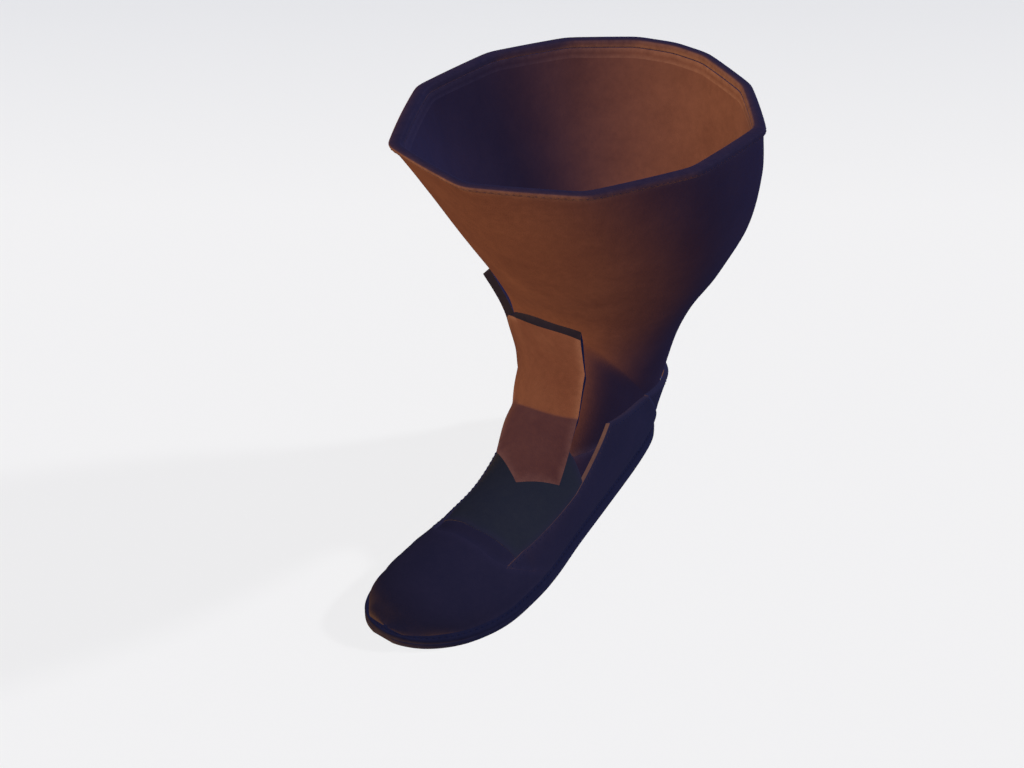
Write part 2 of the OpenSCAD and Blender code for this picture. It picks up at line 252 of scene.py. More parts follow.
def make(name, points, faces, material, slot, edge=0.5, sharp=38, wear=5.0, guide=None, dye=None,
         dyed=()):
    """A mesh object from points in millimetres, with its sharp edges rounded and worn."""
    mesh = bpy.data.meshes.new(name)
    mesh.from_pydata((np.asarray(points).reshape(-1, 3) * MM).tolist(), [], faces)
    shape = bmesh.new()
    shape.from_mesh(mesh)
    bmesh.ops.recalc_face_normals(shape, faces=shape.faces)
    shape.faces.ensure_lookup_table()
    # These faces take the second material, which paints shade on them.
    for i in dyed:
        shape.faces[i].material_index = 1
    sharp_edges = [e for e in shape.edges if e.is_manifold and e.calc_face_angle() > math.radians(sharp)]
    edge_places = [v.co.copy() for v in {v for e in sharp_edges for v in e.verts}]
    if edge and sharp_edges:
        bmesh.ops.bevel(shape, geom=sharp_edges, offset=edge * MM, offset_type="OFFSET",
                        segments=2, profile=0.5, affect="EDGES", clamp_overlap=True)
    for face in shape.faces:
        face.smooth = True
    shape.to_mesh(mesh)
    shape.free()
    values = np.zeros(len(mesh.vertices), np.float32)
    if edge_places:
        tree = kdtree.KDTree(len(edge_places))
        for i, place in enumerate(edge_places):
            tree.insert(place, i)
        tree.balance()
        away = np.array([tree.find(v.co)[2] for v in mesh.vertices]) / MM
        values = np.exp(-((away / wear) ** 2) * 3).astype(np.float32)
    mesh.attributes.new("wear", "FLOAT", "POINT").data.foreach_set("value", values)
    mesh.materials.append(material)
    # The second material, if given, paints shade on the chosen faces.
    if dye is not None:
        mesh.materials.append(dye)
    if guide is not None:
        guide_normals(mesh, np.asarray(points).reshape(-1, 3), guide)
    piece = bpy.data.objects.new(name, mesh)
    bpy.context.scene.collection.objects.link(piece)
    return piece


def sheet(name, outer, inner, material, slot, wrap=False, **more):
    m, n = outer.shape[:2]
    points = np.concatenate([outer.reshape(-1, 3), inner.reshape(-1, 3)])
    faces = sheet_faces(m, n, wrap)
    # With a second material, all of the sheet's rim and side faces get painted shade.
    if "dye" in more:
        more["dyed"] = range(2 * (m - 1) * (n - 1), len(faces))
    return make(name, points, faces, material, slot, **more)


def spread(columns, rows):
    """Places, angles and shares t over columns [u0, a0, u1, a1]."""
    c = np.asarray(columns, float)
    t = np.linspace(0, 1, rows + 1)[:, None]
    return mix(c[:, 0], c[:, 2], t), mix(c[:, 1], c[:, 3], t), t


def web(columns, rows, d):
    """Points over columns [u0, a0, u1, a1]; d is a number or a function of the share up the column."""
    u, a, t = spread(columns, rows)
    return skin(u, a, d(t) if callable(d) else d)


def web_guide(columns, rows, outer, inner):
    """Smooth normals for a sheet over columns: outward at distance outer, inward at distance inner."""
    u, a, _ = spread(columns, rows)
    out, back = smooth_normals(u, a, outer), -smooth_normals(u, a, inner)
    return np.concatenate([out.reshape(-1, 3), back.reshape(-1, 3)])


def web_sheet(name, columns, rows, d0, d1, material, slot, **more):
    return sheet(name, web(columns, rows, d1), web(columns, rows, d0), material, slot, **more)


def undulate(points, size, height):
    """Points moved outward from the leg's middle by a smooth noise of that wavelength and height."""
    flat = points.reshape(-1, 3)
    lift = np.array([noise.noise(Vector(p / size)) for p in flat]) * height
    middle = np.array([0.0, 10.0, 0.0])
    out = flat - middle
    out[:, 2] = 0
    out /= np.linalg.norm(out, axis=1)[:, None] + 1e-9
    return (flat + out * lift[:, None]).reshape(points.shape)


# ---------------------------------------------------------------- materials


def node(tree, kind, **inputs):
    made = tree.nodes.new(kind)
    for key, value in inputs.items():
        made.inputs[key.replace("_", " ")].default_value = value
    return made


def ramp(tree, source, stops):
    made = tree.nodes.new("ShaderNodeValToRGB")
    while len(made.color_ramp.elements) < len(stops):
        made.color_ramp.elements.new(0.5)
    for element, (place, colour) in zip(made.color_ramp.elements, stops):
        element.position = place
        element.color = (*colour, 1)
    tree.links.new(source, made.inputs["Fac"])
    return made.outputs["Color"]


def leather(name, colour, shade, worn, grain=1100.0, depth=0.1, rough=(0.58, 0.78)):
    """Grained leather: mottled colour, pebbled grain, fine scratches, and edges rubbed towards worn."""
    material = bpy.data.materials.new(name)
    material.use_nodes = True
    tree = material.node_tree
    tree.nodes.clear()
    link = tree.links.new
    place = tree.nodes.new("ShaderNodeTexCoord").outputs["Object"]
    mottle = node(tree, "ShaderNodeTexNoise", Scale=26.0, Detail=5.0, Roughness=0.6)
    fine = node(tree, "ShaderNodeTexNoise", Scale=240.0, Detail=4.0, Roughness=0.65)
    pebble = node(tree, "ShaderNodeTexVoronoi", Scale=grain)
    pebble.feature = "SMOOTH_F1"
    for texture in (mottle, fine, pebble):
        link(place, texture.inputs["Vector"])
    tone = ramp(tree, mottle.outputs["Fac"], [(0.3, shade), (0.68, colour)])
    speck = node(tree, "ShaderNodeMix")
    speck.data_type, speck.blend_type = "RGBA", "MULTIPLY"
    speck.inputs["Factor"].default_value = 0.35
    link(tone, speck.inputs["A"])
    fleck = ramp(tree, fine.outputs["Fac"], [(0.3, (0.7, 0.7, 0.7)), (0.7, (1.15, 1.15, 1.15))])
    link(fleck, speck.inputs["B"])
    rub = tree.nodes.new("ShaderNodeAttribute")
    rub.attribute_name = "wear"
    patchy = node(tree, "ShaderNodeMath")
    patchy.operation = "MULTIPLY"
    link(rub.outputs["Fac"], patchy.inputs[0])
    link(fine.outputs["Fac"], patchy.inputs[1])
    edge = node(tree, "ShaderNodeMix")
    edge.data_type = "RGBA"
    link(patchy.outputs[0], edge.inputs["Factor"])
    link(speck.outputs["Result"], edge.inputs["A"])
    edge.inputs["B"].default_value = (*worn, 1)
    shine = node(tree, "ShaderNodeMapRange", To_Min=rough[0], To_Max=rough[1])
    link(fine.outputs["Fac"], shine.inputs["Value"])
    bump = node(tree, "ShaderNodeBump", Strength=0.5, Distance=depth * MM)
    bump.invert = True
    link(pebble.outputs["Distance"], bump.inputs["Height"])
    broad = node(tree, "ShaderNodeBump", Strength=0.3, Distance=0.7 * MM)
    link(mottle.outputs["Fac"], broad.inputs["Height"])
    link(broad.outputs["Normal"], bump.inputs["Normal"])
    shader = node(tree, "ShaderNodeBsdfPrincipled")
    shader.inputs["Specular IOR Level"].default_value = 0.28
    link(edge.outputs["Result"], shader.inputs["Base Color"])
    link(shine.outputs["Result"], shader.inputs["Roughness"])
    link(bump.outputs["Normal"], shader.inputs["Normal"])
    link(shader.outputs["BSDF"], tree.nodes.new("ShaderNodeOutputMaterial").inputs["Surface"])
    return material


BROWN, BROWN_SHADE, BROWN_WORN = (0.165, 0.052, 0.021), (0.125, 0.038, 0.016), (0.26, 0.105, 0.05)
DARK, DARK_SHADE, DARK_WORN = (0.15, 0.07, 0.036), (0.12, 0.058, 0.03), (0.19, 0.09, 0.05)

shaft_leather = leather("shaft_leather", BROWN, BROWN_SHADE, BROWN_WORN)
plate_leather = leather("plate_leather", (0.158, 0.053, 0.0225), BROWN_SHADE, BROWN_WORN)
lining_leather = leather("lining_leather", (0.168, 0.057, 0.026), (0.128, 0.042, 0.019), BROWN_WORN,
                         depth=0.06)
facing_leather = leather("facing_leather", (0.15, 0.047, 0.02), (0.11, 0.035, 0.016), BROWN_WORN)
# A near-black colour for the front plate's edge faces. It is painted shade, so they stay dark where the key
# light would catch them.
edge_dye = leather("edge_dye", (0.018, 0.012, 0.013), (0.014, 0.01, 0.011), (0.03, 0.018, 0.016),
                   depth=0.04)
binding_leather = leather("binding_leather", (0.12, 0.04, 0.018), (0.09, 0.03, 0.015), BROWN_WORN,
                          depth=0.08)
shoe_leather = leather("shoe_leather", DARK, DARK_SHADE, DARK_WORN)
panel_leather = leather("panel_leather", (0.17, 0.105, 0.032), (0.14, 0.09, 0.029), DARK_WORN)
sole_leather = leather("sole_leather", (0.075, 0.038, 0.022), (0.05, 0.027, 0.017), (0.16, 0.085, 0.05),
                       depth=0.05)
welt_leather = leather("welt_leather", (0.075, 0.04, 0.025), (0.055, 0.03, 0.02), (0.12, 0.065, 0.04),
                       depth=0.05)
sock_leather = leather("sock_leather", (0.19, 0.08, 0.035), (0.14, 0.06, 0.028), (0.25, 0.12, 0.06),
                       depth=0.06)


# ---------------------------------------------------------------- the sole


def foot_outline():
    """The foot's outline at the seat: 400 points at even steps, with the heel and toe rounded."""
    u = np.linspace(0, HEEL_U, 200)
    left, right = (skin(u, side * turn(u), 0)[:, :2] for side in (1, -1))
    loop = np.vstack([left, right[-2::-1], [[-3.0, -193.6]]])
    loop = np.vstack([loop, loop[:1]])
    along = np.concatenate([[0], np.cumsum(np.hypot(*np.diff(loop, axis=0).T))])
    even = np.linspace(0, along[-1], 401)[:-1]
    loop = np.stack([np.interp(even, along, loop[:, k]) for k in (0, 1)], -1)
    for _ in range(12):
        loop = (np.roll(loop, 1, 0) + 2 * loop + np.roll(loop, -1, 0)) / 4
    return loop


OUTLINE = foot_outline()
OUTWARD = np.roll(OUTLINE, -1, 0) - np.roll(OUTLINE, 1, 0)
OUTWARD = np.stack([OUTWARD[:, 1], -OUTWARD[:, 0]], -1) / np.hypot(*OUTWARD.T)[:, None]


def rail(d, z):
    """The foot's outline grown by d, at height z."""
    flat = OUTLINE + OUTWARD * d
    return np.column_stack([flat, np.full(len(flat), float(z))])


def rungs(d, z, stations=90, across=13):
    """A grid over the inside of the outline grown by d: stations along Y, points across X."""
    loop = rail(d, z)
    heel, toe = loop[:, 1].argmax(), loop[:, 1].argmin()
    loop = np.roll(loop, -toe, 0)
    heel = (heel - toe) % len(loop)
    sides = [loop[: heel + 1], np.vstack([loop[heel:], loop[:1]])[::-1]]
    y = mix(loop[0, 1], loop[heel, 1], (1 - np.cos(np.linspace(0.035, 0.965, stations) * np.pi)) / 2)
    edges = [np.interp(y, s[:, 1], s[:, 0]) for s in sides]
    x = mix(edges[0][:, None], edges[1][:, None], np.linspace(0, 1, across))
    return np.stack([x, np.repeat(y[:, None], across, 1), np.full(x.shape, float(z))], -1)


def channel(name, profile, material, slot, **more):
    """A band swept round the foot's outline; profile is a closed list of [d, z]."""
    rings = np.stack([rail(d, z) for d, z in profile], 1)
    m, n = rings.shape[:2]
    faces = [
        (i * n + j, i * n + (j + 1) % n, (i + 1) % m * n + (j + 1) % n, (i + 1) % m * n + j)
        for i in range(m) for j in range(n)
    ]
    return make(name, rings, faces, material, slot, **more)


def bend_at_toe(piece, *nodes):
    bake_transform(piece)
    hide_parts(*nodes)


def bend_at_ankle(piece, *nodes):
    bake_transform(piece)
    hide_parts(*nodes)


OUTSOLE_T, WELT_TOP, WELT_OUT = 3.5, 6.5, 7.4


def stitches(name, path, up, material, slot, pitch=3.6, length=2.5, radius=0.42):
    """A row of thread stitches along a path of points in millimetres; up is the way out of the leather."""
    step = np.linalg.norm(np.diff(path, axis=0), axis=1)
    along = np.concatenate([[0], np.cumsum(step)])
    count = int(along[-1] / pitch)
    places = (np.arange(count) + 0.5) * along[-1] / count

    def sample(values, s):
        return np.stack([np.interp(s, along, values[:, k]) for k in range(3)], -1)

    rings, sides = 5, 6
    points, faces = [], []
    middle, out = sample(path, places), sample(up, places)
    ahead = sample(path, places + length / 2) - sample(path, places - length / 2)
    ahead /= np.linalg.norm(ahead, axis=1)[:, None] + 1e-9
    out /= np.linalg.norm(out, axis=1)[:, None] + 1e-9
    across = np.cross(ahead, out)
    for i in range(count):
        start = len(points)
        for r in range(rings):
            t = r / (rings - 1) * 2 - 1
            size = radius * math.sqrt(max(0.05, 1 - t * t * 0.9))
            centre = middle[i] + ahead[i] * t * length / 2 + out[i] * radius * (0.45 - 1.1 * t * t)
            for k in range(sides):
                turned = 2 * math.pi * k / sides
                points.append(centre + size * (math.cos(turned) * across[i] + math.sin(turned) * out[i]))
        for r in range(rings - 1):
            for k in range(sides):
                a, b = start + r * sides + k, start + r * sides + (k + 1) % sides
                faces.append((a, b, b + sides, a + sides))
        faces.append(tuple(start + k for k in range(sides))[::-1])
        faces.append(tuple(start + (rings - 1) * sides + k for k in range(sides)))
    return make(name, points, faces, material, slot, edge=0, wear=0.5)


def seam(name, u, a, d, material, slot, **more):
    """Stitches along places u and angles a of the skin, at distance d."""
    u, a = np.broadcast_arrays(np.asarray(u, float), np.asarray(a, float))
    path = skin(u, a, d)
    return stitches(name, path, skin(u, a, np.asarray(d) + 1.0) - path, material, slot, **more)


shoe_thread = leather("shoe_thread", (0.05, 0.03, 0.026), (0.035, 0.022, 0.02), (0.08, 0.05, 0.04),
                      depth=0.03)
shaft_thread = leather("shaft_thread", (0.10, 0.032, 0.014), (0.075, 0.025, 0.012), (0.16, 0.06, 0.03),
                       depth=0.03)

outsole = sheet("outsole", rungs(WELT_OUT, OUTSOLE_T), rungs(WELT_OUT, 0.0), sole_leather, "outsole",
                edge=0.7)
bend_at_toe(outsole, "outsole_forepart", "outsole_rear")

welt = channel("welt", [
    [-2, 3.5], [WELT_OUT - 0.4, 3.5], [WELT_OUT - 0.1, 4.3], [WELT_OUT - 0.1, 5.6],
    [WELT_OUT - 0.6, WELT_TOP], [WELT_OUT - 1.8, WELT_TOP], [WELT_OUT - 2.0, WELT_TOP - 0.35],
    [WELT_OUT - 2.6, WELT_TOP - 0.35], [WELT_OUT - 2.8, WELT_TOP], [-2, WELT_TOP],
], welt_leather, "welt", edge=0.12)
bend_at_toe(welt, "welt_forepart", "welt_rear")

ring = rail(WELT_OUT - 2.3, WELT_TOP - 0.25)
ring = np.vstack([ring, ring[:1]])
welt_seam = stitches("welt_stitches", ring, np.tile([0.0, 0.0, 1.0], (len(ring), 1)), shoe_thread, "welt")
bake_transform(welt_seam)

sock = sheet("sock", rungs(-4.4, 10.9), rungs(-4.4, 9.5), sock_leather, "sock", edge=0.4)
bend_at_toe(sock, "sock_forepart", "sock_rear")

# ---------------------------------------------------------------- the shoe

SHOE_OUT, SHOE_IN = 3.9, 1.9
TOE_SEAM_U, TOE_SEAM_SWEEP, TOE_SEAM_V = 3.2, 1.5, 0.27
PANEL_V = 0.54
PANEL_FRONT_U = 3.62
CORNER_U, CORNER_A, CORNER_T = 7.2, 63.0, 0.3
SEAM_A = 179.3
SHOE_LINE, LINING_LINE = [62, -0.1], [50, -0.1]


def toe_seam(v):
    """Where the toe cap ends, against the share v of the way from the ridge to the sole."""
    return TOE_SEAM_U + TOE_SEAM_SWEEP * np.clip((np.abs(v) - TOE_SEAM_V) / (1 - TOE_SEAM_V), 0, 1) ** 2


def hoops(u, v, d):
    """Points over a grid of places u and shares v of the way round."""
    return skin(u, v * turn(u), d)


def toe_grid(d, rows=46, around=72):
    """The toe cap from its rounded nose back to the toe seam."""
    v = np.linspace(-1, 1, around + 1)[None, :]
    t = np.linspace(0, 1, rows + 1)[:, None] ** 1.25
    body = hoops(t * (toe_seam(v) + 0.06), np.broadcast_to(v, (rows + 1, around + 1)), d)
    first = body[0]
    foot = np.array([first[:, 0].mean(), first[[0, -1], 1].mean(), SEAT])
    nose = []
    for angle in np.radians([84, 70, 56, 42, 28, 14]):
        ring = foot + (first - foot) * math.cos(angle)
        ring[:, 1] -= 1.0 * math.sin(angle)
        nose.append(ring)
    return np.concatenate([np.array(nose), body])


def toe_light(d, rows=46, around=72):
    """Smooth normals for the toe cap's grid at distance d."""
    v = np.linspace(-1, 1, around + 1)[None, :]
    t = np.linspace(0, 1, rows + 1)[:, None] ** 1.25
    u = t * (toe_seam(v) + 0.06)
    body = smooth_normals(u, v * turn(u), d)
    return np.concatenate([np.repeat(body[:1], 6, axis=0), body]).reshape(-1, 3)


toe_cap = sheet("toe_cap", toe_grid(SHOE_OUT), toe_grid(SHOE_IN), shoe_leather, "shoe_leather", edge=0.55,
                sharp=65, guide=np.concatenate([toe_light(SHOE_OUT), -toe_light(SHOE_IN)]))
bend_at_toe(toe_cap, "toe_vamp")


def break_depth(u, v, top):
    """Depth of the flex strip: three soft folds where the shoe bends behind the toe."""
    fold = np.cos((u - toe_seam(v)) / 0.42 * 2 * np.pi)
    return top - 0.35 + 0.35 * fold * np.clip(1.2 - np.abs(v), 0, 1)


def strip_grid(top, folds):
    v = np.linspace(-PANEL_V - 0.03, PANEL_V + 0.03, 61)[None, :]
    t = np.linspace(0, 1, 29)[:, None]
    u = mix(toe_seam(v) - 0.12, PANEL_FRONT_U + 0.9, t)
    v = np.broadcast_to(v, u.shape)
    return hoops(u, v, break_depth(u, v, top) if folds else top)


flex_strip = sheet("flex_strip", strip_grid(2.5, True), strip_grid(0.5, False), shoe_leather, "shoe_leather")
bend_at_toe(flex_strip, "vamp_flex")


def panel_grid(d, rise, rows=40, around=48):
    """The instep panel, which thickens by rise behind its thin front edge."""
    v = np.linspace(-PANEL_V - 0.02, PANEL_V + 0.02, around + 1)[None, :]
    t = np.linspace(0, 1, rows + 1)[:, None]
    front = PANEL_FRONT_U + 0.25 * np.abs(v)
    u = mix(front, 6.05, t)
    return hoops(u, np.broadcast_to(v, u.shape), d + rise * ease((u - front) / 0.6))


panel = sheet("instep_panel_leather", panel_grid(2.7, 0.8), panel_grid(1.6, 0.0), panel_leather,
              "panel_leather", edge=0.4, sharp=65)
bend_at_toe(panel, "instep_panel")


def quarter_columns(side, steps=150):
    """Columns of a quarter from the sole's edge to its free edge, from the front to the back seam."""
    t = np.linspace(0, 1, steps + 1)
    low_u = mix(toe_seam(1.0), HEEL_U, np.sin(t * np.pi / 2))
    low_a = np.minimum(SEAM_A, turn(low_u))
    front = t < CORNER_T
    top_u = mix(toe_seam(PANEL_V), CORNER_U, t / CORNER_T)
    front_a = np.minimum(CORNER_A, PANEL_V * turn(top_u))
    back_a = mix(CORNER_A, SEAM_A, (t - CORNER_T) / (1 - CORNER_T))
    top_u = np.where(front, top_u, cut(back_a, SHOE_LINE))
    top_a = np.where(front, front_a, back_a)
    columns = np.stack([low_u, side * low_a, top_u, side * top_a], -1)
    return columns if side > 0 else columns[::-1]


for side, name in ((1, "lateral"), (-1, "medial")):
    quarter = web_sheet(f"quarter_{name}_leather", quarter_columns(side), 44,
                        lambda t: SHOE_IN - 1.3 * ease((t - 0.7) / 0.25), SHOE_OUT + 0.15,
                        shoe_leather, "shoe_leather", edge=0.6)
    bend_at_toe(quarter, f"quarter_{name}")
    line = quarter_columns(side)
    place, angle = mix(line[:, 0], line[:, 2], 0.95), mix(line[:, 1], line[:, 3], 0.95)
    rows = seam(f"quarter_{name}_stitches", place, angle, SHOE_OUT + 0.1, shoe_thread, "shoe_leather",
                radius=0.3)
    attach(rows, "foot")

# ---------------------------------------------------------------- the leg

LEATHER_T = 2.6
LINING_OUT, LINING_IN = -2.9, -4.4
RIM_PITCH = 33.0
LEATHER_END_U = LAST - 1.9 / RIM_PITCH
AROUND = np.linspace(-180, 180, 241)[:-1]


leg_end = np.full(len(AROUND), LEATHER_END_U)
leg = np.stack([cut(AROUND, [50.6, -0.1]), AROUND, leg_end, AROUND], -1)
leg_outer = undulate(web(leg, 110, 0.0), 38.0, 0.5)
leg_guide = web_guide(leg, 110, 0.0, -LEATHER_T)
leg_height = np.concatenate([leg_outer[..., 2].ravel()] * 2)
leg_guide[:, 2] *= ease((leg_height - 70) / 70)
leg_guide /= np.linalg.norm(leg_guide, axis=1)[:, None]
leg_leather = sheet("leg_leather", leg_outer, web(leg, 110, -LEATHER_T), shaft_leather, "shaft_leather",
                    wrap=True, guide=leg_guide)
bend_at_ankle(leg_leather, "shaft_base", "ankle_leather", "shaft_leather")

leg_lining = sheet("leg_lining", web(leg, 90, LINING_OUT), undulate(web(leg, 90, LINING_IN), 30.0, 0.5),
                   lining_leather, "lining_leather", wrap=True,
                   guide=web_guide(leg, 90, LINING_OUT, LINING_IN))
bend_at_ankle(leg_lining, "ankle_lining", "shaft_lining")


def half_columns(steps=70, front_share=0.28, start_u=4.32):
    """The foot lining's columns on one side, from the ridge round to the back seam."""
    t = np.linspace(0, 1, steps + 1)
    ahead = t < front_share
    share = np.clip((t - front_share) / (1 - front_share), 0, 1)
    low_u = mix(start_u, HEEL_U, np.sin(share * np.pi / 2))
    low_a = np.where(ahead, turn(start_u) * t / front_share, np.minimum(SEAM_A, turn(low_u)))
    top_a = SEAM_A * t
    return np.stack([low_u, low_a, cut(top_a, LINING_LINE), top_a], -1)


half = half_columns()
foot_columns = np.concatenate([(half * [1, -1, 1, -1])[:0:-1], half])
foot_lining = web_sheet("foot_lining_leather", foot_columns, 30, -LEATHER_T, 0.0, lining_leather,
                        "lining_leather")
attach(foot_lining, "foot")
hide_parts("foot_lining")


def toe_lining_grid(d):
    u, v = np.meshgrid(np.linspace(0.1, 4.3, 40), np.linspace(-1, 1, 61), indexing="ij")
    return hoops(u, v, d)


toe_lining = sheet("toe_lining_leather", toe_lining_grid(0.0), toe_lining_grid(-LEATHER_T),
                   lining_leather, "lining_leather")
bend_at_toe(toe_lining, "toe_lining", "vamp_flex_lining")

BINDING_H, BINDING_T, BINDING_GAP = 4.5, 1.1, 0.25
BINDING_U = LAST - BINDING_H / RIM_PITCH


def binding_profile():
    """The binding's closed outline as [u, d]: a fold of leather over the rim's edge."""
    far, near = BINDING_GAP + BINDING_T, LINING_IN - BINDING_GAP - BINDING_T
    lip = BINDING_T / RIM_PITCH
    return np.array([
        [BINDING_U, BINDING_GAP], [BINDING_U - 0.01, BINDING_GAP + 0.5], [BINDING_U + 0.02, far],
        [LAST - 0.06, far], [LAST - 0.015, far - 0.3], [LAST, far - 1.2],
        [LAST, near + 1.2], [LAST - 0.015, near + 0.3], [LAST - 0.06, near],
        [BINDING_U + 0.02, near], [BINDING_U - 0.01, near + 0.9], [BINDING_U, LINING_IN - BINDING_GAP],
        [LAST - lip, LINING_IN - BINDING_GAP], [LAST - lip, BINDING_GAP],
    ])


profile = binding_profile()
rim = skin(profile[None, :, 0], AROUND[:, None], profile[None, :, 1])
m, n = rim.shape[:2]
rim_binding = make("rim_binding_leather", rim, [
    (i * n + j, i * n + (j + 1) % n, (i + 1) % m * n + (j + 1) % n, (i + 1) % m * n + j)
    for i in range(m) for j in range(n)
], binding_leather, "binding_leather", edge=0, wear=3.0)
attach(rim_binding, "shaft")
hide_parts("rim_binding")

facing_top = BINDING_U - 0.008
facing = np.stack([np.full(240, facing_top - 0.2), AROUND, np.full(240, facing_top), AROUND], -1)
rim_facing = web_sheet("rim_facing_leather", facing, 10, LINING_IN - 1.6, LINING_IN - 0.3,
                       facing_leather, "facing_leather", wrap=True, edge=0.4,
                       guide=web_guide(facing, 10, LINING_IN - 0.3, LINING_IN - 1.6))
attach(rim_facing, "shaft")
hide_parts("rim_facing")

strap_half = math.degrees(math.asin(11.0 / 94.0))
strap_a = np.linspace(180 - strap_half, 180 + strap_half, 17)
strap = np.stack([cut(strap_a, [120, 0], low=12.0), strap_a, np.full(17, BINDING_U - 0.03), strap_a], -1)
back_strap = web_sheet("back_strap_leather", strap, 60, 0.6, 2.2, shaft_leather, "shaft_leather", edge=0.5)
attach(back_strap, "shaft")
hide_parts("back_strap")

for side in (-1, 1):
    edge_a = 180 + side * (strap_half - 1.6)
    low_u = float(cut(edge_a, [124, 0], low=12.0))
    rows = seam("back_strap_stitches", np.linspace(low_u, BINDING_U - 0.1, 60), edge_a, 2.15,
                shaft_thread, "shaft_leather", radius=0.32)
    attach(rows, "shaft")

rows = seam("binding_stitches", BINDING_U + 0.045, np.append(AROUND, 180.0), BINDING_GAP + BINDING_T - 0.05,
            shaft_thread, "binding_leather", radius=0.26)
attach(rows, "shaft")

# ---------------------------------------------------------------- the front plate

PLATE_T, PLATE_FOOT_T, WING_EXTRA_T = 5.0, 2.0, 3.0
PLATE_STAND, PLATE_SIT = 4.6, 2.0
PLATE_TOP_U, PLATE_TIP_U, PLATE_CORNER_U = 9.85, 4.8, 5.35
WING_RISE, WING_S, WING_STEP = 3.3, 0.23, 0.06
TOP_DIP, TOP_DIP_S = 0.62, 0.3
# How far the plate's back runs on past its face, in u at the top and the foot and in degrees at the side.
BACK_TOP, BACK_TOP_OUTER, BACK_FOOT, BACK_SIDE = 0.68, 1.35, 0.14, 3.5
PLATE_EDGE = np.array([[4.8, 41], [5.35, 40], [5.9, 34], [6.5, 27], [7.4, 27], [9.85, 31], [13.2, 33]])
WING_EDGE = np.array([[4.8, 33], [5.35, 35], [6.3, 50], [7.4, 62], [8.4, 70], [9.9, 76], [13.2, 66]])
CREASE_U, CREASE_T = 6.35, 0.2
PLATE_FOLDS = np.array([4.5, CREASE_U, 7.4, 9.85, 11.5, 13.4])
LIGHT_FOLDS = np.array([4.5, CREASE_U, 9.85, 13.4])
FOLD_SOFT = 0.07


def plate_place(s, t, inside):
    """Place and angle on the plate: s from the inner edge to the outer one, t from the foot to the top.

    The back (inside = 1) runs on past the face (inside = 0) at the top and the outer side and is cut
    back at the foot, so that the plate's edges slope. One row of the grid, at CREASE_T, lies along the
    crease at the ankle.
    """
    low = mix(PLATE_TIP_U, PLATE_CORNER_U, np.abs(2 * s - 1)) + BACK_FOOT * inside
    dip = TOP_DIP * np.sin(np.pi * np.clip((s - TOP_DIP_S) / (1 - TOP_DIP_S), 0, 1))
    back_top = mix(BACK_TOP, BACK_TOP_OUTER, ease((s - 0.72) / 0.28))
    high = PLATE_TOP_U + WING_RISE * ease((WING_S - s) / WING_STEP) + back_top * inside - dip
    crease = CREASE_U + plate_bow(plate_angle(s, CREASE_U, 0))
    below = mix(low, crease, t / CREASE_T)
    u = np.where(t < CREASE_T, below, mix(crease, high, (t - CREASE_T) / (1 - CREASE_T)))
    return u, plate_angle(s, u, inside)


def plate_angle(s, u, inside):
    """The angle at share s of the way from the wing's edge to the outer edge, at place u."""
    return mix(-np.interp(u, *WING_EDGE.T), np.interp(u, *PLATE_EDGE.T) + BACK_SIDE * inside, s)


def plate_bow(a):
    """How much further up the creases lie towards the plate's edges."""
    return 0.25 * np.clip((a + 7) / 34, -1.2, 1.2) ** 2 - 0.05


def plate_skin(u, a, d, folds=PLATE_FOLDS):
    """The skin folded flat between the plate's creases, with the creases softened.

    The creases bow a little across the plate.
    """
    bow = plate_bow(a)
    total = 0
    for shift in (-1, -0.5, 0, 0.5, 1):
        place = np.clip(u - bow + shift * FOLD_SOFT, folds[0], folds[-1] - 1e-6)
        i = np.searchsorted(folds, place, "right") - 1
        low, high = folds[i], folds[i + 1]
        share = ((place - low) / (high - low))[..., None]
        stand = [mix(PLATE_STAND, PLATE_SIT, ease((x - 5.7) / 1.1)) for x in (low, high)]
        total = total + mix(skin(low + bow, a, stand[0] + d), skin(high + bow, a, stand[1] + d), share)
    return total / 5


plate_s, plate_t = np.meshgrid(np.linspace(0, 1, 91), np.linspace(0, 1, 111))
face_place, back_place = plate_place(plate_s, plate_t, 0), plate_place(plate_s, plate_t, 1)


def plate_thickness(u, a):
    """The plate thins towards its foot, and its wing is thicker where it stands clear of the bell."""
    body = mix(PLATE_FOOT_T, PLATE_T, ease((u - PLATE_TIP_U) / 1.3))
    return body + WING_EXTRA_T * ease((-a - 28) / 22) * ease((u - 8.6) / 1.4)


def plate_light():
    """The normals of the plate's face as if it had two flat facets that meet in one crease."""
    u, angle = face_place
    face = plate_skin(u, angle, PLATE_T, LIGHT_FOLDS)
    normal = np.cross(np.gradient(face, axis=1), np.gradient(face, axis=0))
    normal /= np.linalg.norm(normal, axis=-1)[..., None]
    front = 1 - ease((-angle - 34) / 14)
    upper_way, lower_way = np.array([-0.10, -0.99, 0.0]), np.array([-0.2, -0.44, 0.88])
    flat = np.where(plate_t[..., None] < CREASE_T - 0.001, lower_way, upper_way)
    normal = mix(normal, flat, 0.85 * front[..., None])
    return normal / np.linalg.norm(normal, axis=-1)[..., None]


plate_guide = plate_light().reshape(-1, 3)
plate_face = plate_skin(*face_place, plate_thickness(*face_place))
# The plate's edge faces carry the near-black painted shade.
front_plate = sheet("front_plate_leather", plate_face, plate_skin(*back_place, 0.0), plate_leather,
                    "plate_leather", edge=0.6, dye=edge_dye,
                    guide=np.concatenate([plate_guide, -plate_guide]))
bend_at_ankle(front_plate, "front_plate")

# ---------------------------------------------------------------- hidden pieces carried over from the frame

